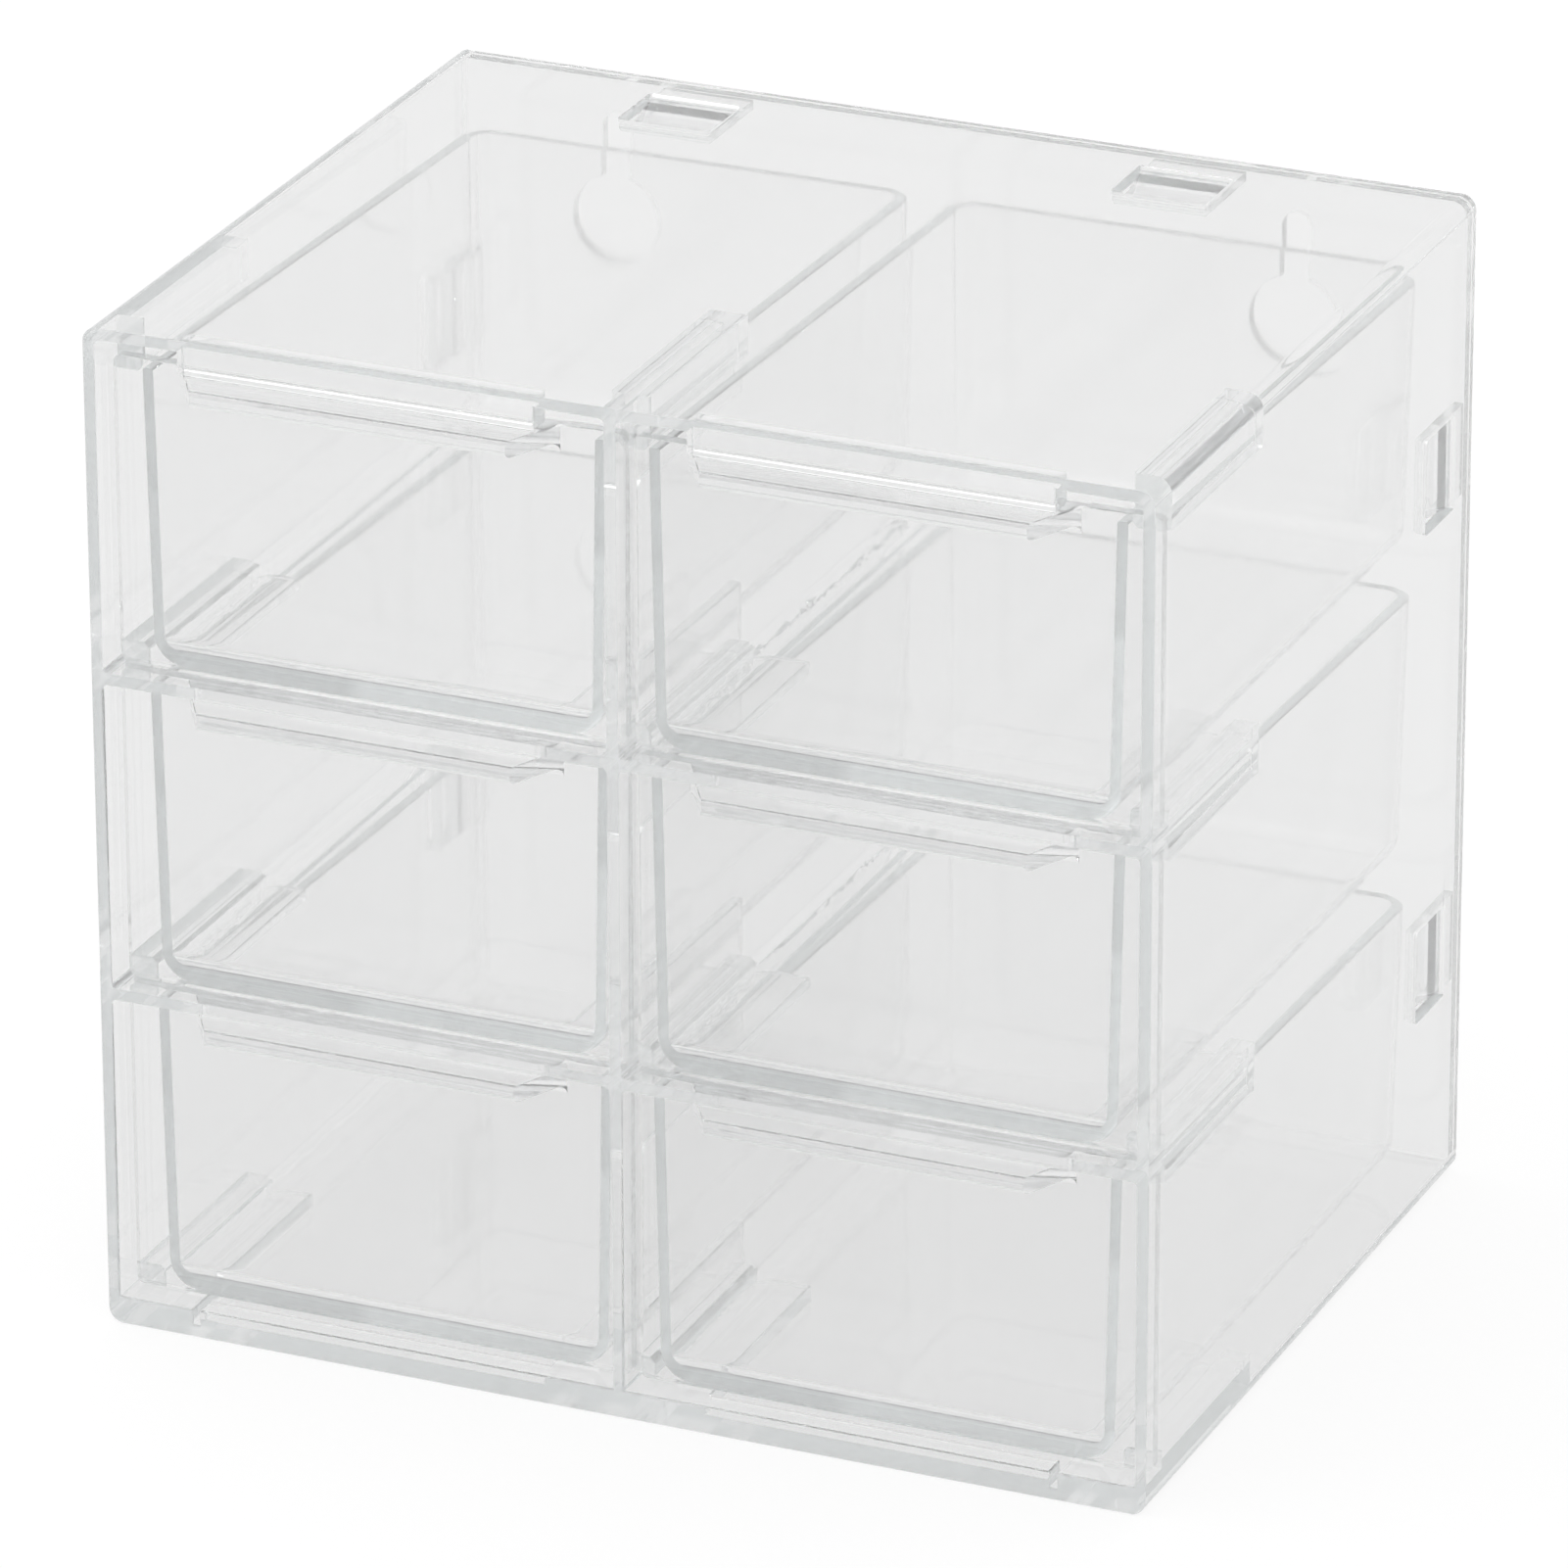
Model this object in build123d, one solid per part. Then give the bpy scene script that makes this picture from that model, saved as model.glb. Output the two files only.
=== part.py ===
from build123d import *
from math import atan2, degrees
import os

# Clear desk and wall box: a square-edged sleeve, two drawers wide and three high,
# with a clip-in back panel that has two keyholes for hanging.
# Millimetres. +X is to the right, +Y to the back, +Z up. The origin is on the surface
# that the box stands on, midway between its sides and between the lips' front edges
# and the back rim.

# Sleeve
case_width = 180.0
case_depth = 139.0
case_height = 172.0
case_wall = 2.0
case_edge_radius = 2.6
case_inner_radius = 1.0

# Grid of shelves and the upright divider in the sleeve's mouth
columns = 2
rows = 3
shelf_thickness = 2.0
divider_thickness = 2.0
grid_depth = 46.0
bar_depth = 9.0
ledge_width = 13.0
notch_corner_radius = 2.0
cell_corner_radius = 0.8
first_seat_height = 4.7
header_height = 3.8
sill_width = 61.0
sill_depth = 4.6

# Guides in the cells' corners, which hold each tub in line over the grid's depth
guide_height = 3.0
guide_chamfer = 0.8

# Drawers
front_recess = 5.5
front_thickness = 2.0
front_corner_radius = 1.2
tub_wall_gap = 5.0
tub_divider_gap = 2.6
tub_back_gap = 8.5
tub_wall = 1.8
tub_floor = 1.8
tub_draft = 1.0
tub_corner_radius = 5.0
tub_bottom_radius = 5.0
rim_front_drop = 2.0
rim_back_drop = 5.2

# Lip handle on each front
lip_root_width = 65.0
lip_nose_width = 54.0
lip_overhang = 3.0
lip_drop = 0.8
lip_thickness = 2.8
lip_root_radius = 1.6
lip_nose_radius = 0.9

# Back panel, its spring tongues and the sleeve's windows for them
panel_thickness = 2.0
panel_corner_radius = 1.0
window_length = 13.4
window_width = 16.4
window_back_gap = 7.6
window_corner_radius = 0.8
tongue_thickness = 1.6
tongue_tip_bevel = 0.8
catch_length = 6.0
catch_rise = 1.5
keyhole_spacing = 120.0
keyhole_drop = 26.5
keyhole_radius = 7.7
keyhole_neck_width = 5.0
keyhole_neck_rise = 16.0

# Clearances
slide_clearance = 0.3
front_clearance = 0.5
panel_clearance = 0.2
tongue_clearance = 0.3

# Places that follow from the sizes above
overall_depth = case_depth + lip_overhang
front_y = -overall_depth / 2 + lip_overhang
back_y = overall_depth / 2
ceiling_height = case_height - case_wall
grid_back_y = front_y + grid_depth
drawer_front_y = front_y + front_recess
drawer_inner_y = drawer_front_y + front_thickness
tub_back_y = back_y - tub_back_gap
window_back_y = back_y - window_back_gap
window_front_y = window_back_y - window_length
row_pitch = (ceiling_height - header_height + shelf_thickness - first_seat_height) / rows
front_height = row_pitch - shelf_thickness - slide_clearance - front_clearance
cell_width = (case_width - 2 * case_wall - (columns - 1) * divider_thickness) / columns
tub_width = cell_width - tub_wall_gap - tub_divider_gap
tub_taper = degrees(atan2(tub_draft, front_height))


def seat_height(row):
    """Height of the surface that a row's drawers stand on."""
    return first_seat_height + row * row_pitch


def cell_floor(row):
    """Height of the plate under a row: the sleeve's bottom or a shelf."""
    return case_wall if row == 0 else seat_height(row)


def cell_ceiling(row):
    """Height of the plate over a row: the next shelf or the sleeve's top."""
    if row == rows - 1:
        return ceiling_height
    return seat_height(row + 1) - shelf_thickness


def cell_centre(column):
    """Middle of a column of cells along X."""
    return (column - (columns - 1) / 2) * (cell_width + divider_thickness)


def tub_centre(column):
    """Middle of a column of tubs, a little nearer to the divider than the cell's."""
    outward = 1 if column > (columns - 1) / 2 else -1
    return cell_centre(column) - outward * (tub_wall_gap - tub_divider_gap) / 2


def along_y(sketch, start, end):
    """A sketch drawn in X and Z, extruded from start to end along Y."""
    return extrude(Plane.XZ.offset(-end) * sketch, end - start)


def block(low, high):
    """A plain block between two corners."""
    size = [b - a for a, b in zip(low, high)]
    return Pos(*low) * Box(*size, align=(Align.MIN, Align.MIN, Align.MIN))


def sleeve():
    """The outer shell, open at the front and the back."""
    outer = RectangleRounded(case_width, case_height, case_edge_radius)
    inner_width = case_width - 2 * case_wall
    inner_height = case_height - 2 * case_wall
    inner = RectangleRounded(inner_width, inner_height, case_inner_radius)
    return along_y(Pos(0, case_height / 2) * (outer - inner), front_y, back_y)


def shelf_notch():
    """Cutter for one cell's shelf, which leaves a bar at the mouth and a ledge on each side."""
    width = cell_width - 2 * ledge_width
    outline = RectangleRounded(width, 2 * (grid_depth - bar_depth), notch_corner_radius)
    return extrude(Pos(0, grid_back_y) * outline, shelf_thickness, both=True)


def divider_notch(height):
    """Cutter for the divider beside one row, which leaves a bar and a gusset at each end."""
    outline = RectangleRounded(2 * (grid_depth - bar_depth), height - 2 * ledge_width, notch_corner_radius)
    return extrude(Plane.YZ * Pos(grid_back_y, 0) * outline, divider_thickness, both=True)


def grid():
    """Shelves and divider as one lattice of bars, with ledges and gussets in the corners."""
    inner_width = case_width - 2 * case_wall
    inner_height = case_height - 2 * case_wall
    lattice = Pos(0, case_height / 2) * Rectangle(inner_width, inner_height)
    for column in range(columns):
        for row in range(rows):
            height = cell_ceiling(row) - cell_floor(row)
            middle = (cell_ceiling(row) + cell_floor(row)) / 2
            cell = RectangleRounded(cell_width, height, cell_corner_radius)
            lattice -= Pos(cell_centre(column), middle) * cell
    web = along_y(lattice, front_y, grid_back_y)
    for row in range(rows):
        middle = (cell_ceiling(row) + cell_floor(row)) / 2
        web -= Pos(0, 0, middle) * divider_notch(cell_ceiling(row) - cell_floor(row))
        if row > 0:
            for column in range(columns):
                height = seat_height(row) - shelf_thickness / 2
                web -= Pos(cell_centre(column), 0, height) * shelf_notch()
    return web


def guide(wall_x, tub_x, plate_z, reach_z):
    """A low block in a cell's corner, from a wall to the tub and from a plate to reach_z."""
    low = (min(wall_x, tub_x), min(plate_z, reach_z))
    high = (max(wall_x, tub_x), max(plate_z, reach_z))
    size = (high[0] - low[0], high[1] - low[1])
    section = Pos(*low) * Rectangle(*size, align=(Align.MIN, Align.MIN))
    corner = section.vertices().sort_by_distance((tub_x, reach_z))[0]
    section = chamfer(corner, guide_chamfer)
    return along_y(section, drawer_inner_y + front_clearance, grid_back_y)


def guides():
    """The guides beside every tub's floor and rim, in each cell's four corners."""
    solids = []
    half_tub = tub_width / 2 + slide_clearance
    for column in range(columns):
        for row in range(rows):
            for side in (-1, 1):
                wall_x = cell_centre(column) + side * cell_width / 2
                tub_x = tub_centre(column) + side * half_tub
                top = seat_height(row) + front_height + slide_clearance - guide_height
                solids.append(guide(wall_x, tub_x, cell_floor(row), seat_height(row) + guide_height))
                solids.append(guide(wall_x, tub_x, cell_ceiling(row), top))
    return solids


def mouth_bars():
    """Sill under each bottom drawer and header over each top drawer, which fill the mouth."""
    header_z = seat_height(rows - 1) + row_pitch - shelf_thickness
    solids = []
    for column in range(columns):
        low_x = tub_centre(column) - sill_width / 2
        high_x = tub_centre(column) + sill_width / 2
        for low_z, high_z in ((case_wall, first_seat_height), (header_z, ceiling_height)):
            bar = block((low_x, front_y, low_z), (high_x, front_y + sill_depth, high_z))
            solids.append(bar)
    return solids


def bottom_ledges():
    """Blocks on the sleeve's bottom that carry the bottom drawers, under the shelves' ledges."""
    solids = []
    for column in range(columns):
        for side in (-1, 1):
            wall_x = cell_centre(column) + side * cell_width / 2
            edge_x = wall_x - side * ledge_width
            low = (min(wall_x, edge_x), front_y, case_wall)
            solids.append(block(low, (max(wall_x, edge_x), grid_back_y, first_seat_height)))
    return solids


def on_each_wall(solid):
    """Copies of a solid drawn on the outer face of a top wall, two for each of the four walls."""
    solids = []
    for x in (tub_centre(0), tub_centre(columns - 1)):
        solids.append(Pos(x, 0, case_height) * solid)
        solids.append(Pos(x, 0, 0) * Rot(0, 180, 0) * solid)
    for z in (case_height / 4, 3 * case_height / 4):
        solids.append(Pos(case_width / 2, 0, z) * Rot(0, 90, 0) * solid)
        solids.append(Pos(-case_width / 2, 0, z) * Rot(0, -90, 0) * solid)
    return solids


def windows():
    """Cutters for the eight windows near the back rim."""
    outline = RectangleRounded(window_width, window_length, window_corner_radius)
    middle_y = (window_front_y + window_back_y) / 2
    return on_each_wall(Pos(0, middle_y) * extrude(outline, 2 * case_wall, both=True))


def case_shell():
    """Sleeve, grid, guides, mouth bars and bottom ledges as one moulding."""
    shell = sleeve() + grid()
    shell += guides()
    shell += mouth_bars()
    shell += bottom_ledges()
    shell -= windows()
    return shell


def tongue():
    """One spring tongue, drawn under the top wall's outer face at height 0."""
    top = -case_wall - tongue_clearance
    root_y = back_y - panel_thickness / 2
    tip_y = window_front_y + tongue_clearance
    catch_back_y = window_back_y - tongue_clearance
    catch_front_y = catch_back_y - catch_length
    outline = Polyline(
        (root_y, top),
        (catch_back_y, top),
        (catch_back_y, top + catch_rise),
        (catch_front_y, top),
        (tip_y, top),
        (tip_y, top - tongue_thickness + tongue_tip_bevel),
        (tip_y + tongue_tip_bevel, top - tongue_thickness),
        (root_y, top - tongue_thickness),
        close=True,
    )
    width = window_width - 2 * tongue_clearance
    return extrude(Plane.YZ * make_face(outline), width / 2, both=True)


def keyhole():
    """Round head hole with a narrow neck above it."""
    neck = Pos(0, keyhole_neck_rise / 2) * Rectangle(keyhole_neck_width, keyhole_neck_rise)
    neck_top = Pos(0, keyhole_neck_rise) * Circle(keyhole_neck_width / 2)
    return Circle(keyhole_radius) + neck + neck_top


def back_panel():
    """Plate that closes the back, with two keyholes and eight tongues."""
    width = case_width - 2 * case_wall - 2 * panel_clearance
    height = case_height - 2 * case_wall - 2 * panel_clearance
    plate = Pos(0, case_height / 2) * RectangleRounded(width, height, panel_corner_radius)
    for sign in (-1, 1):
        plate -= Pos(sign * keyhole_spacing / 2, case_height - keyhole_drop) * keyhole()
    panel = along_y(plate, back_y - panel_thickness, back_y)
    panel += on_each_wall(tongue())
    return panel


def tub_block(inset, base, top, front, bottom_radius):
    """Tapered block of the tub's outline, drawn in by inset, between two levels."""
    grow = tub_draft * (top / front_height - 1)
    width = tub_width - 2 * inset + 2 * grow
    back = tub_back_y - inset + grow
    outline = Pos(0, (back + drawer_front_y) / 2) * Rectangle(width, back - drawer_front_y)
    solid = Pos(0, 0, top) * extrude(outline, top - base, dir=(0, 0, -1), taper=tub_taper)
    solid &= block((-tub_width, front, base - tub_floor), (tub_width, back_y, top + tub_floor))
    rear_corners = solid.faces().sort_by(Axis.Y)[-1].edges().filter_by(Axis.X, reverse=True)
    solid = fillet(rear_corners, max(tub_corner_radius - inset, tub_wall / 2))
    floor_edges = solid.faces().sort_by(Axis.Z)[0].edges()
    if inset == 0:
        floor_edges -= floor_edges.group_by(Axis.Y)[0]
    return fillet(floor_edges, bottom_radius)


def lip():
    """Pull lip: a plate that leaves the front's top edge, dips and ends in a round nose."""
    nose_y = drawer_front_y - front_recess - lip_overhang
    root_low = front_height - lip_thickness - 2 * lip_root_radius
    side = Polyline(
        (drawer_inner_y, front_height),
        (drawer_front_y, front_height),
        (nose_y, front_height - lip_drop),
        (nose_y, front_height - lip_drop - lip_thickness),
        (drawer_front_y, front_height - lip_thickness),
        (drawer_front_y, root_low),
        (drawer_inner_y, root_low),
        close=True,
    )
    profile = Plane.YZ * make_face(side)
    root = profile.vertices().sort_by_distance((0, drawer_front_y, front_height - lip_thickness))[0]
    profile = fillet(root, lip_root_radius)
    nose = profile.vertices().group_by(Axis.Y)[0]
    plate = extrude(fillet(nose, lip_nose_radius), lip_root_width / 2, both=True)
    plan = Polyline(
        (-lip_root_width / 2, drawer_inner_y),
        (-lip_root_width / 2, drawer_front_y),
        (-lip_nose_width / 2, nose_y),
        (lip_nose_width / 2, nose_y),
        (lip_root_width / 2, drawer_front_y),
        (lip_root_width / 2, drawer_inner_y),
        close=True,
    )
    return plate & extrude(make_face(plan), front_height)


def drawer_at_origin(front_shift):
    """One drawer with its tub in the middle; front_shift moves the front to fill the cell."""
    width = cell_width - 2 * front_clearance
    panel = Pos(front_shift, front_height / 2) * RectangleRounded(width, front_height, front_corner_radius)
    front = along_y(panel, drawer_front_y, drawer_inner_y)
    middle_of_front_y = (drawer_front_y + drawer_inner_y) / 2
    outer = tub_block(0, 0, front_height, middle_of_front_y, tub_bottom_radius)
    above = front_height + tub_floor
    inner = tub_block(tub_wall, tub_floor, above, drawer_inner_y, tub_bottom_radius - tub_wall)
    slope = Polyline(
        (drawer_inner_y, front_height - rim_front_drop),
        (tub_back_y, front_height - rim_back_drop),
        (back_y, above),
        (drawer_inner_y, above),
        close=True,
    )
    above_rim = extrude(Plane.YZ * make_face(slope), tub_width, both=True)
    return front + (outer - above_rim) + lip() - inner


def drawer(column, row):
    """A drawer in its place in the grid."""
    shift = cell_centre(column) - tub_centre(column)
    height = seat_height(row) + slide_clearance
    return Pos(tub_centre(column), 0, height) * drawer_at_origin(shift)


row_names = ("bottom", "middle", "top")
column_names = ("left", "right")

os.makedirs("parts", exist_ok=True)
export_step(case_shell(), "parts/case_shell.step")
export_step(back_panel(), "parts/back_panel.step")
for row in range(rows):
    for column in range(columns):
        name = f"drawer_{row_names[row]}_{column_names[column]}"
        export_step(drawer(column, row), f"parts/{name}.step")
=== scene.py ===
"""Looks of a clear box of six small drawers: finishes, softened mouldings, studio and camera.

Metres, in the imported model's frame: +X to the right, +Y to the back panel, +Z up.
"""

import logging
import math
from dataclasses import dataclass
from enum import Enum
from typing import Any

import bmesh
import bpy
import numpy as np
from mathutils import Matrix, Vector


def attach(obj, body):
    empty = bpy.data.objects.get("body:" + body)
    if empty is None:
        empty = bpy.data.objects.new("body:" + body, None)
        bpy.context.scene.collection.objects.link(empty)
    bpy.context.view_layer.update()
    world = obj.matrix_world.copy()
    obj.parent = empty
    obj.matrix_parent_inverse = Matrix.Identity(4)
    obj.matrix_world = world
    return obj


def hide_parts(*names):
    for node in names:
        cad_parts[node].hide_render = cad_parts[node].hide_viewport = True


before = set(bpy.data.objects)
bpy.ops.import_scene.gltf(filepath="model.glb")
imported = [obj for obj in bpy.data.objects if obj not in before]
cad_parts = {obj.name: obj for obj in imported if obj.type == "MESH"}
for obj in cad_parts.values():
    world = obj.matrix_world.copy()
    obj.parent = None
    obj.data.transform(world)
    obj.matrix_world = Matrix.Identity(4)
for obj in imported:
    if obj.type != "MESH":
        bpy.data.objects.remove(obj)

MM = 0.001
WALL_BOUNCES = 112
DIFFUSE_BOUNCES = 16
LOG = logging.getLogger("clear_drawer_box")


class Row(Enum):
    """Rows of drawers, from the lowest up."""

    BOTTOM = "bottom"
    MIDDLE = "middle"
    TOP = "top"


class Column(Enum):
    """Columns of drawers, as seen from the front."""

    LEFT = "left"
    RIGHT = "right"


def linear(hex_colour: str) -> tuple[float, float, float, float]:
    """Turn an sRGB hex colour into Blender's linear colour.

    Args:
        hex_colour: Six hex digits, with or without a leading hash.

    Returns:
        Linear red, green and blue, and an alpha of 1.
    """
    digits = hex_colour.lstrip("#")
    channels = np.array([int(digits[i : i + 2], 16) for i in (0, 2, 4)]) / 255
    light = np.where(channels <= 0.04045, channels / 12.92, ((channels + 0.055) / 1.055) ** 2.4)
    return (*(float(value) for value in light), 1.0)


def add_node(
    tree: bpy.types.NodeTree, kind: str, values: dict[Any, Any], **settings: Any
) -> bpy.types.Node:
    """Add one node with its settings, its socket values and its links.

    Args:
        tree: The node tree to add to.
        kind: The node's type name.
        values: What each input gets: a plain value, or an output socket to link from.
        settings: The node's own settings.

    Returns:
        The new node.
    """
    node = tree.nodes.new(kind)
    for name, value in settings.items():
        setattr(node, name, value)
    for key, value in values.items():
        if isinstance(value, bpy.types.NodeSocket):
            tree.links.new(value, node.inputs[key])
        else:
            node.inputs[key].default_value = value
    return node


@dataclass(frozen=True)
class ClearPolystyrene:
    """General-purpose polystyrene, injection moulded in a polished tool.

    To the eye it is water-clear, with bright edges, grey lines where light is led away along
    a wall, which a painted glow inside the plastic keeps from going black, a faint haze from
    handling, and slow waves where the melt flowed.

    Attributes:
        name: The material's name.
        tint: Colour of the light that a surface lets through.
        ior: Refractive index, 1.59 for polystyrene.
        transmission: Share of light that goes through; the rest is a faint milky haze.
        gloss: Lowest roughness, on clean areas.
        haze: Roughness that handling and the tool's polish add in patches.
        patch_mm: Size of the hazy patches.
        clean_below: Noise level under which a place is clean.
        hazy_above: Noise level over which a place has all its haze.
        flow_mm: Length of the waves that the melt leaves.
        flow_height_mm: Height of these waves.
        shift: Offset of the patterns, so that no two mouldings are alike.
        absorption: Colour left after one unit of the density below.
        density: How fast the faint milky body of a wall takes light, per metre.
        painted_glow_level: Strength of a painted glow that the plastic gives off inside, in step
            with the light that it takes, so that light led far along a wall ends as grey and not
            as black.
    """

    name: str
    tint: str = "#FFFFFF"
    ior: float = 1.59
    transmission: float = 0.986
    gloss: float = 0.025
    haze: float = 0.035
    patch_mm: float = 22.0
    clean_below: float = 0.35
    hazy_above: float = 0.75
    flow_mm: float = 34.0
    flow_height_mm: float = 0.012
    shift: float = 0.0
    absorption: str = "#BFC2C2"
    density: float = 18.0
    painted_glow_level: float = 0.64

    def milky_absorption_and_painted_glow(self, tree: bpy.types.NodeTree) -> bpy.types.NodeSocket:
        """Add the plastic's faint absorption inside, and a painted glow that gives back the light
        that it takes.

        Args:
            tree: The node tree to add to.

        Returns:
            The output to link to the material's volume.
        """
        faded = add_node(
            tree,
            "ShaderNodeVolumeAbsorption",
            {"Color": linear(self.absorption), "Density": self.density},
        )
        taken = self.density * (1 - float(np.mean(linear(self.absorption)[:3])))
        # Painted glow: the volume gives off light in step with what it absorbs, so that long paths
        # inside a wall end grey and not black.
        painted_glow_node = add_node(tree, "ShaderNodeEmission", {"Strength": self.painted_glow_level * taken})
        inside = add_node(
            tree,
            "ShaderNodeAddShader",
            {0: faded.outputs["Volume"], 1: painted_glow_node.outputs["Emission"]},
        )
        return inside.outputs["Shader"]

    def build(self) -> bpy.types.Material:
        """Make the material.

        Returns:
            A material with its pattern in Object coordinates.
        """
        material = bpy.data.materials.new(self.name)
        material.use_nodes = True
        tree = material.node_tree
        tree.nodes.clear()
        place = add_node(tree, "ShaderNodeTexCoord", {})
        moved = add_node(
            tree,
            "ShaderNodeMapping",
            {"Vector": place.outputs["Object"], "Location": (self.shift, self.shift, self.shift)},
        )
        patches = add_node(
            tree,
            "ShaderNodeTexNoise",
            {"Vector": moved.outputs["Vector"], "Scale": 1 / (self.patch_mm * MM), "Detail": 3.0},
        )
        roughness = add_node(
            tree,
            "ShaderNodeMapRange",
            {
                "Value": patches.outputs["Fac"],
                "From Min": self.clean_below,
                "From Max": self.hazy_above,
                "To Min": self.gloss,
                "To Max": self.gloss + self.haze,
            },
        )
        waves = add_node(
            tree,
            "ShaderNodeTexNoise",
            {"Vector": moved.outputs["Vector"], "Scale": 1 / (self.flow_mm * MM), "Detail": 1.0},
        )
        bump = add_node(
            tree,
            "ShaderNodeBump",
            {"Height": waves.outputs["Fac"], "Strength": 1.0, "Distance": self.flow_height_mm * MM},
        )
        surface = add_node(
            tree,
            "ShaderNodeBsdfPrincipled",
            {
                "Base Color": linear(self.tint),
                "Roughness": roughness.outputs["Result"],
                "IOR": self.ior,
                "Transmission Weight": self.transmission,
                "Normal": bump.outputs["Normal"],
            },
        )
        links = {"Surface": surface.outputs["BSDF"], "Volume": self.milky_absorption_and_painted_glow(tree)}
        add_node(tree, "ShaderNodeOutputMaterial", links)
        return material


@dataclass(frozen=True)
class PalePaper:
    """Matt white paper sweep under and behind the box.

    The camera sees it as white. The plastic shows it a little greyer, as a lit paper is, and
    with the box's own shadow in it.

    Attributes:
        name: The material's name.
        colour: The paper's own colour.
        seen: Brightness that the camera sees.
        through: Brightness that the plastic shows.
        share: How much of the seen brightness is this plain level; the rest is lit paper.
        roughness: The paper's roughness.
        grain_mm: Size of its grain.
        grain_height_mm: Height of its grain.
        grain_strength: How much of that height shows.
    """

    name: str
    colour: str = "#F4F4F4"
    seen: float = 1.03
    through: float = 0.87
    share: float = 0.85
    roughness: float = 0.9
    grain_mm: float = 0.6
    grain_height_mm: float = 0.05
    grain_strength: float = 0.15

    def plain_level(self, tree: bpy.types.NodeTree) -> tuple[bpy.types.Node, bpy.types.Node]:
        """Add the light-path switch and the brightness that goes with it.

        Args:
            tree: The node tree to add to.

        Returns:
            A node whose output is 1 for camera, glossy and transmission rays, and one whose
            output is the brightness for the ray.
        """
        path = add_node(tree, "ShaderNodeLightPath", {})
        first = add_node(
            tree,
            "ShaderNodeMath",
            {0: path.outputs["Is Camera Ray"], 1: path.outputs["Is Glossy Ray"]},
            operation="MAXIMUM",
        )
        any_seen = add_node(
            tree,
            "ShaderNodeMath",
            {0: first.outputs["Value"], 1: path.outputs["Is Transmission Ray"]},
            operation="MAXIMUM",
        )
        level = add_node(
            tree,
            "ShaderNodeMapRange",
            {"Value": path.outputs["Is Camera Ray"], "To Min": self.through, "To Max": self.seen},
        )
        return any_seen, level

    def build(self) -> bpy.types.Material:
        """Make the paper's material.

        Returns:
            A material that mixes lit paper with the plain level.
        """
        material = bpy.data.materials.new(self.name)
        material.use_nodes = True
        tree = material.node_tree
        tree.nodes.clear()
        any_seen, level = self.plain_level(tree)
        place = add_node(tree, "ShaderNodeTexCoord", {})
        grain = add_node(
            tree,
            "ShaderNodeTexNoise",
            {"Vector": place.outputs["Object"], "Scale": 1 / (self.grain_mm * MM), "Detail": 2.0},
        )
        bump = add_node(
            tree,
            "ShaderNodeBump",
            {
                "Height": grain.outputs["Fac"],
                "Strength": self.grain_strength,
                "Distance": self.grain_height_mm * MM,
            },
        )
        lit = add_node(
            tree,
            "ShaderNodeBsdfPrincipled",
            {
                "Base Color": linear(self.colour),
                "Roughness": self.roughness,
                "Normal": bump.outputs["Normal"],
            },
        )
        plain = add_node(tree, "ShaderNodeEmission", {"Strength": level.outputs["Result"]})
        share = add_node(
            tree,
            "ShaderNodeMath",
            {0: any_seen.outputs["Value"], 1: self.share},
            operation="MULTIPLY",
        )
        mixed = add_node(
            tree,
            "ShaderNodeMixShader",
            {0: share.outputs["Value"], 1: lit.outputs["BSDF"], 2: plain.outputs["Emission"]},
        )
        add_node(tree, "ShaderNodeOutputMaterial", {"Surface": mixed.outputs["Shader"]})
        return material


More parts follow.
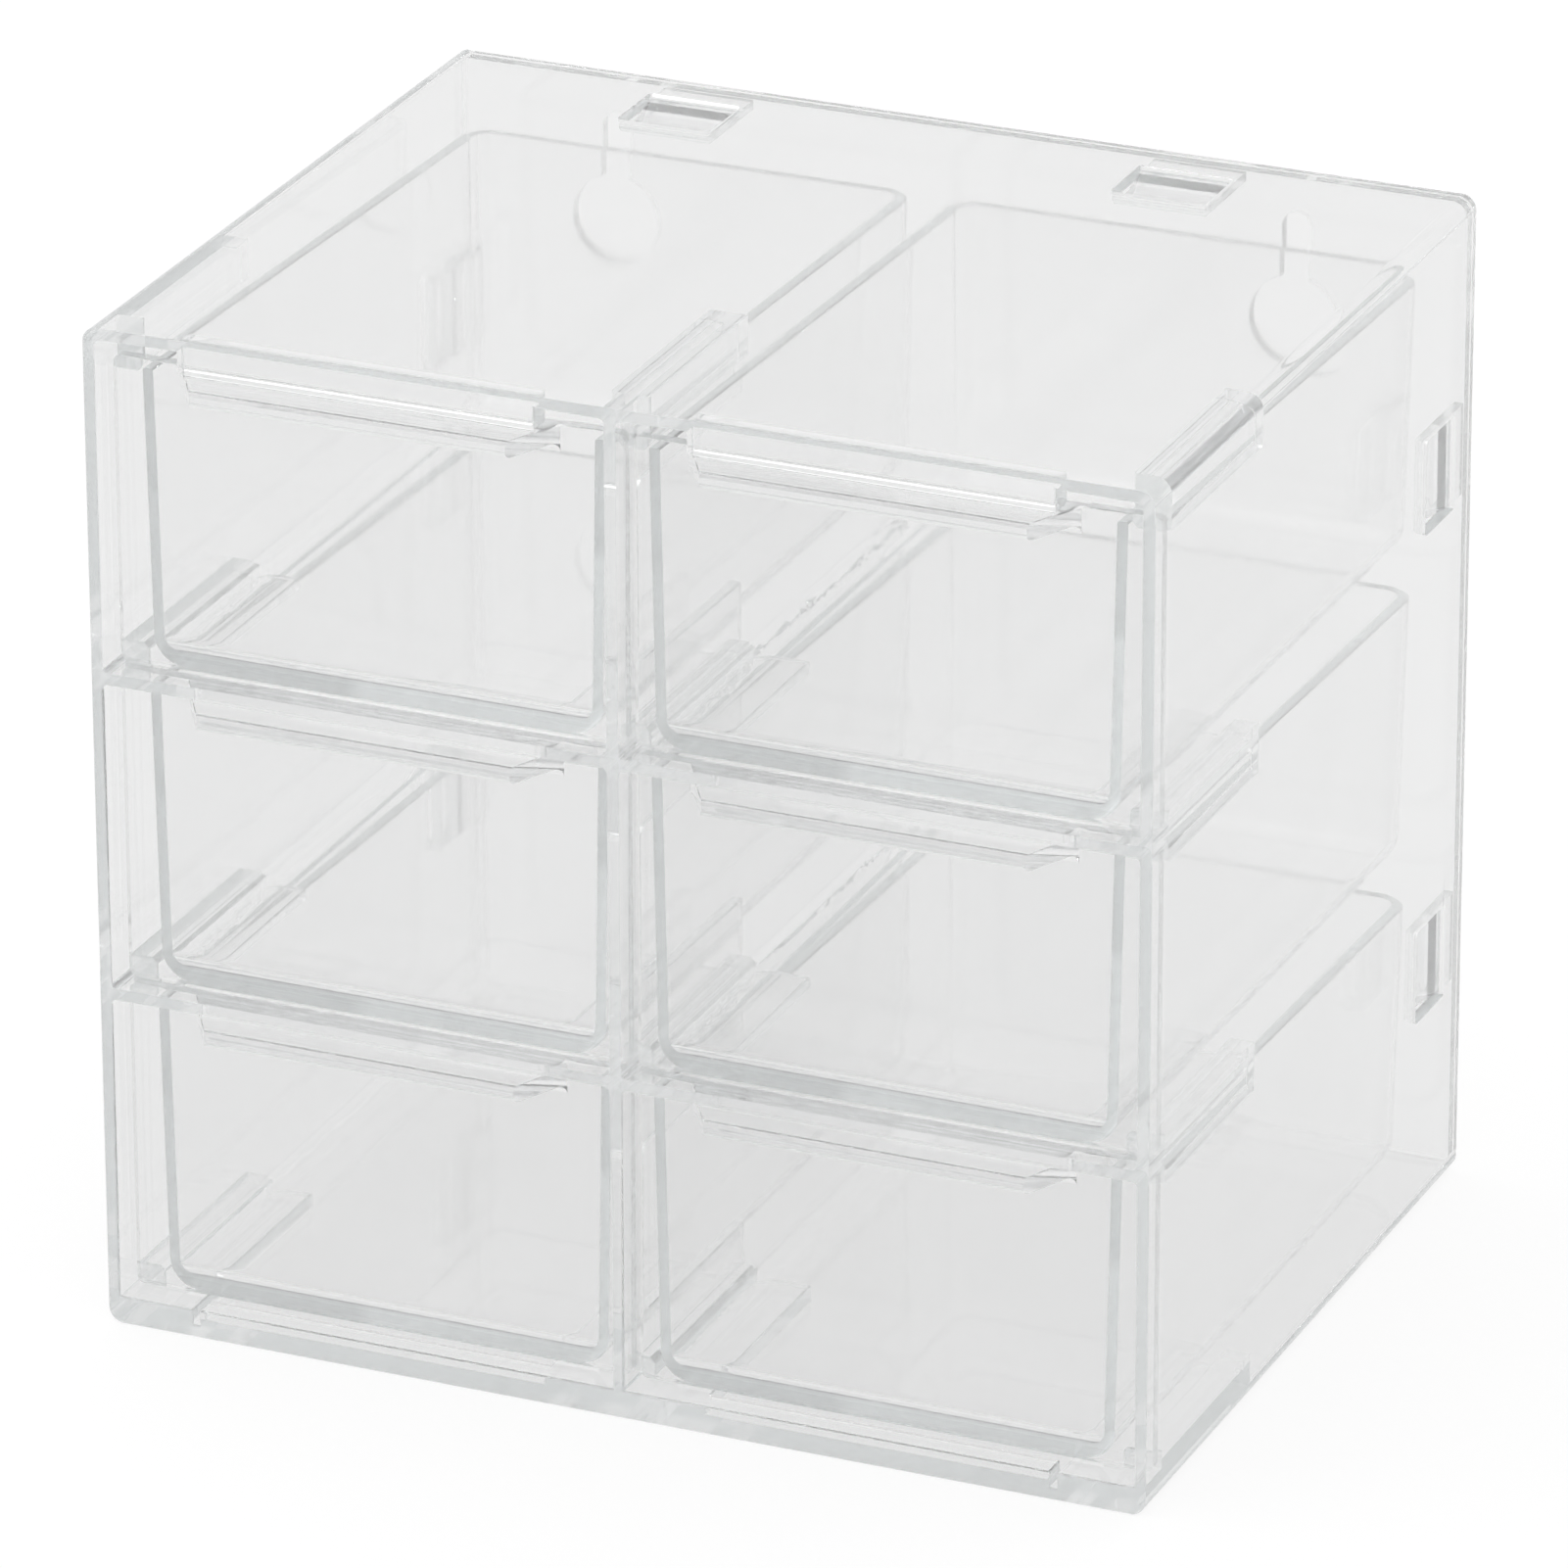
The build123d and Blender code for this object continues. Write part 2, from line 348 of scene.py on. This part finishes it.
@dataclass
class Moulding:
    """One injection-moulded piece: its CAD solid with every sharp edge rounded as a tool leaves it.

    Attributes:
        node: The CAD node that it stands for.
        body: The body that it moves with.
        slot: The record's material slot; not used.
        finish: Its plastic.
        edge_mm: Radius that the tool leaves on a sharp edge.
        segments: Steps across each rounded edge.
        sharp_degrees: Outward edges that turn by more than this are rounded.
        curve_degrees: Edges that turn by less than this are part of a curve.
        shortest_mm: Edges shorter than this stay as they are.
        merge_mm: Points nearer than this are one.
        flat_degrees: Faces that turn by less than this are one flat.
    """

    node: str
    body: str
    slot: str
    finish: ClearPolystyrene
    edge_mm: float = 0.3
    segments: int = 3
    sharp_degrees: float = 60.0
    curve_degrees: float = 35.0
    shortest_mm: float = 0.5
    merge_mm: float = 0.002
    flat_degrees: float = 0.3

    def solid(self) -> bpy.types.Mesh:
        """Copy the CAD node's mesh as one closed skin with a single face for each flat.

        Inner corners stay sharp, as the tool's own outer edges are.

        Returns:
            A new mesh whose sharp outward edges carry the weight that rounds them.
        """
        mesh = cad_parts[self.node].data.copy()
        skin = bmesh.new()
        skin.from_mesh(mesh)
        bmesh.ops.remove_doubles(skin, verts=skin.verts, dist=self.merge_mm * MM)
        flat = math.radians(self.flat_degrees)
        bmesh.ops.dissolve_limit(skin, angle_limit=flat, verts=skin.verts, edges=skin.edges)
        weight = skin.edges.layers.float.new("bevel_weight_edge")
        for edge in skin.edges:
            turn = math.degrees(edge.calc_face_angle_signed(0.0))
            long = edge.calc_length() > self.shortest_mm * MM
            edge[weight] = float(long and turn > self.sharp_degrees)
        skin.to_mesh(mesh)
        skin.free()
        return mesh

    def soften(self, piece: bpy.types.Object) -> None:
        """Round the weighted edges.

        Args:
            piece: The object whose mesh is finished; its modifier is applied.
        """
        rounding = piece.modifiers.new("edge rounding", "BEVEL")
        rounding.limit_method = "WEIGHT"
        rounding.width = self.edge_mm * MM
        rounding.segments = self.segments
        rounding.use_clamp_overlap = False
        graph = bpy.context.evaluated_depsgraph_get()
        finished = bpy.data.meshes.new_from_object(piece.evaluated_get(graph))
        piece.modifiers.clear()
        piece.data = finished

    def shade(self, mesh: bpy.types.Mesh) -> None:
        """Keep flats flat and curves smooth.

        The normal at a face's corner is the sum, over the faces that meet there and turn by
        less than curve_degrees from it, of the face's normal times its area squared.

        Args:
            mesh: The mesh whose corners get their normals.
        """
        corners, faces = len(mesh.loops), len(mesh.polygons)
        point, size = np.empty(corners, np.int32), np.empty(faces, np.int32)
        area, normal = np.empty(faces), np.empty(3 * faces)
        mesh.loops.foreach_get("vertex_index", point)
        mesh.polygons.foreach_get("loop_total", size)
        mesh.polygons.foreach_get("area", area)
        mesh.polygons.foreach_get("normal", normal)
        own = np.repeat(np.arange(faces), size)
        order = np.argsort(point, kind="stable")
        first, inverse, count = np.unique(
            point[order], return_index=True, return_inverse=True, return_counts=True
        )[1:]
        start, around = first[inverse], count[inverse]
        rank = np.arange(corners) - start
        mine, sums = own[order], np.zeros((corners, 3))
        direction, pull = normal.reshape(-1, 3), (area / MM**2) ** 2
        for step in range(int(count.max())):
            other = mine[start + (rank + step) % around]
            near = np.sum(direction[mine] * direction[other], axis=1)
            meets = (step < around) & (near > math.cos(math.radians(self.curve_degrees)))
            sums += direction[other] * (pull[other] * meets)[:, None]
        sums /= np.linalg.norm(sums, axis=1, keepdims=True)
        normals = np.empty_like(sums)
        normals[order] = sums
        mesh.polygons.foreach_set("use_smooth", np.ones(faces, bool))
        mesh.normals_split_custom_set(normals.tolist())

    def build(self) -> bpy.types.Object:
        """Make, soften and dress the piece.

        Returns:
            The finished object, riding on its body.
        """
        piece = bpy.data.objects.new(f"{self.node}_moulding", self.solid())
        bpy.context.scene.collection.objects.link(piece)
        if self.edge_mm > 0:
            self.soften(piece)
        self.shade(piece.data)
        piece.data.materials.clear()
        piece.data.materials.append(self.finish.build())
        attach(piece, self.body)
        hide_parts(self.node)
        LOG.info("%s: %d faces on %s", piece.name, len(piece.data.polygons), self.body)
        return piece


@dataclass
class Case:
    """The sleeve with its grid, and the panel that closes its back.

    Attributes:
        shell_edge_mm: Radius on the sleeve's and the grid's edges.
        panel_edge_mm: Radius on the panel's and the tongues' edges.
        sharp_degrees: Outward edges that turn by more than this are rounded.
        panel_shift: Offset of the panel's patterns from the sleeve's.
    """

    shell_edge_mm: float = 0.35
    panel_edge_mm: float = 0.0
    sharp_degrees: float = 30.0
    panel_shift: float = 0.9

    def build(self) -> list[bpy.types.Object]:
        """Make both pieces.

        Returns:
            The sleeve and the panel.
        """
        shell = Moulding(
            node="case_shell",
            body="case",
            slot="clear_case",
            finish=ClearPolystyrene("moulded clear polystyrene, case"),
            edge_mm=self.shell_edge_mm,
            sharp_degrees=self.sharp_degrees,
        )
        panel = Moulding(
            node="back_panel",
            body="case",
            slot="clear_panel",
            finish=ClearPolystyrene("moulded clear polystyrene, panel", shift=self.panel_shift),
            edge_mm=self.panel_edge_mm,
            sharp_degrees=self.sharp_degrees,
        )
        return [shell.build(), panel.build()]


@dataclass
class Drawer:
    """One pull-out drawer: front, lip handle and tub in one moulding.

    Attributes:
        row: Which row it is in.
        column: Which column it is in.
        edge_mm: Radius on its edges.
        row_shift: Offset of the patterns from one row to the next.
        column_shift: Offset of the patterns from one column to the next.
    """

    row: Row
    column: Column
    edge_mm: float = 0.35
    row_shift: float = 0.31
    column_shift: float = 0.17

    def build(self) -> bpy.types.Object:
        """Make the drawer.

        Returns:
            The finished drawer, riding on its own body.
        """
        name = f"{self.row.value}_{self.column.value}"
        row, column = list(Row).index(self.row), list(Column).index(self.column)
        shift = self.row_shift * (1 + row) + self.column_shift * column
        moulding = Moulding(
            node=f"drawer_{name}",
            body=f"drawer_body_{name}",
            slot="clear_drawer",
            finish=ClearPolystyrene(f"moulded clear polystyrene, drawer {name}", shift=shift),
            edge_mm=self.edge_mm,
        )
        return moulding.build()


@dataclass
class Studio:
    """Paper sweep, soft light from all round and a large soft lamp overhead.

    Attributes:
        floor_size: Side of the paper.
        floor_points: Points along each side of the paper.
        floor_drop_mm: How far the paper lies under the box's base.
        around: Brightness of the surrounding light.
        lamp_size: Side of the soft lamp.
        lamp_height: Height of the lamp above the floor.
        lamp_place: Where the lamp hangs, to the right and to the back of the box's middle.
        lamp_power: Power of the lamp.
    """

    floor_size: float = 6.0
    floor_points: int = 5
    floor_drop_mm: float = 0.2
    around: float = 0.97
    lamp_size: float = 1.2
    lamp_height: float = 1.4
    lamp_place: tuple[float, float] = (-0.35, -0.25)
    lamp_power: float = 4.5

    def floor(self, paper: PalePaper) -> bpy.types.Object:
        """Lay the paper: a flat grid of quads, level, just under the base.

        Args:
            paper: Its finish.

        Returns:
            The floor object.
        """
        steps = np.linspace(-self.floor_size / 2, self.floor_size / 2, self.floor_points)
        x, y = np.meshgrid(steps, steps)
        points = np.stack([x, y, np.full_like(x, -self.floor_drop_mm * MM)], axis=-1)
        number = np.arange(x.size).reshape(x.shape)
        corners = [number[:-1, :-1], number[:-1, 1:], number[1:, 1:], number[1:, :-1]]
        quads = np.stack(corners, axis=-1)
        mesh = bpy.data.meshes.new("paper_sweep")
        mesh.from_pydata(points.reshape(-1, 3).tolist(), [], quads.reshape(-1, 4).tolist())
        mesh.materials.append(paper.build())
        floor = bpy.data.objects.new("paper_sweep", mesh)
        bpy.context.scene.collection.objects.link(floor)
        return floor

    def sky(self, paper: PalePaper) -> None:
        """Light the box evenly from all round, and show paper white behind it.

        Args:
            paper: The finish whose brightness the background shares.
        """
        world = bpy.data.worlds.new("soft room")
        bpy.context.scene.world = world
        world.use_nodes = True
        world.cycles.sampling_method = "NONE"
        tree = world.node_tree
        tree.nodes.clear()
        any_seen, level = paper.plain_level(tree)
        strength = add_node(
            tree,
            "ShaderNodeMix",
            {"Factor": any_seen.outputs["Value"], "A": self.around, "B": level.outputs["Result"]},
            data_type="FLOAT",
        )
        light = add_node(
            tree,
            "ShaderNodeBackground",
            {"Color": linear("#FFFFFF"), "Strength": strength.outputs["Result"]},
        )
        add_node(tree, "ShaderNodeOutputWorld", {"Surface": light.outputs["Background"]})

    def lamp(self) -> bpy.types.Object:
        """Hang the soft lamp over the box, a little to the left and to the front.

        Returns:
            The lamp.
        """
        data = bpy.data.lights.new("soft lamp", "AREA")
        data.shape = "SQUARE"
        data.size = self.lamp_size
        data.energy = self.lamp_power
        lamp = bpy.data.objects.new("soft lamp", data)
        lamp.matrix_world = Matrix.Translation((*self.lamp_place, self.lamp_height))
        bpy.context.scene.collection.objects.link(lamp)
        return lamp

    def build(self) -> None:
        """Set up the floor, the surroundings and the lamp."""
        paper = PalePaper("matt white paper")
        self.floor(paper)
        self.sky(paper)
        self.lamp()
        LOG.info("studio: paper %.1f m, lamp %.1f W", self.floor_size, self.lamp_power)


@dataclass
class Viewpoint:
    """The photograph's camera: a long lens, from the right and above.

    Attributes:
        target: Point in the middle of the view.
        distance: From the target to the lens.
        azimuth: Degrees to the right of straight in front.
        elevation: Degrees above level.
        roll: Degrees that the camera leans.
        lens_mm: Focal length.
        sensor_mm: Width of the sensor.
        far: How far the camera sees.
    """

    target: tuple[float, float, float] = (-0.00107, 0.0014, 0.0817)
    distance: float = 1.917
    azimuth: float = 23.39
    elevation: float = 23.28
    roll: float = -0.17
    lens_mm: float = 273.4
    sensor_mm: float = 36.0
    far: float = 50.0

    def build(self) -> bpy.types.Object:
        """Make the camera and look through it.

        Returns:
            The camera, which the scene uses.
        """
        turn, rise = math.radians(self.azimuth), math.radians(self.elevation)
        level = math.cos(rise)
        back = Vector((math.sin(turn) * level, -math.cos(turn) * level, math.sin(rise)))
        data = bpy.data.cameras.new("camera")
        data.lens = self.lens_mm
        data.sensor_width = self.sensor_mm
        data.sensor_fit = "HORIZONTAL"
        data.clip_end = self.far
        camera = bpy.data.objects.new("camera", data)
        facing = back.to_track_quat("Z", "Y").to_matrix().to_4x4()
        place = Matrix.Translation(Vector(self.target) + back * self.distance)
        camera.matrix_world = place @ facing @ Matrix.Rotation(math.radians(self.roll), 4, "Z")
        bpy.context.scene.collection.objects.link(camera)
        bpy.context.scene.camera = camera
        return camera


def set_view() -> None:
    """Set plain colours, and light paths long enough for many walls of clear plastic."""
    scene = bpy.context.scene
    scene.view_settings.view_transform = "Standard"
    scene.cycles.max_bounces = WALL_BOUNCES
    scene.cycles.transmission_bounces = WALL_BOUNCES
    scene.cycles.glossy_bounces = WALL_BOUNCES
    scene.cycles.diffuse_bounces = DIFFUSE_BOUNCES
    scene.cycles.caustics_reflective = True
    scene.cycles.caustics_refractive = True


def main() -> None:
    """Build the box and its studio, in order."""
    logging.basicConfig(level=logging.INFO, format="%(name)s: %(message)s")
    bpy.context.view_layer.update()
    Viewpoint().build()
    set_view()
    Studio().build()
    Case().build()
    for row in Row:
        for column in Column:
            Drawer(row, column).build()


if __name__ == "__main__":
    main()
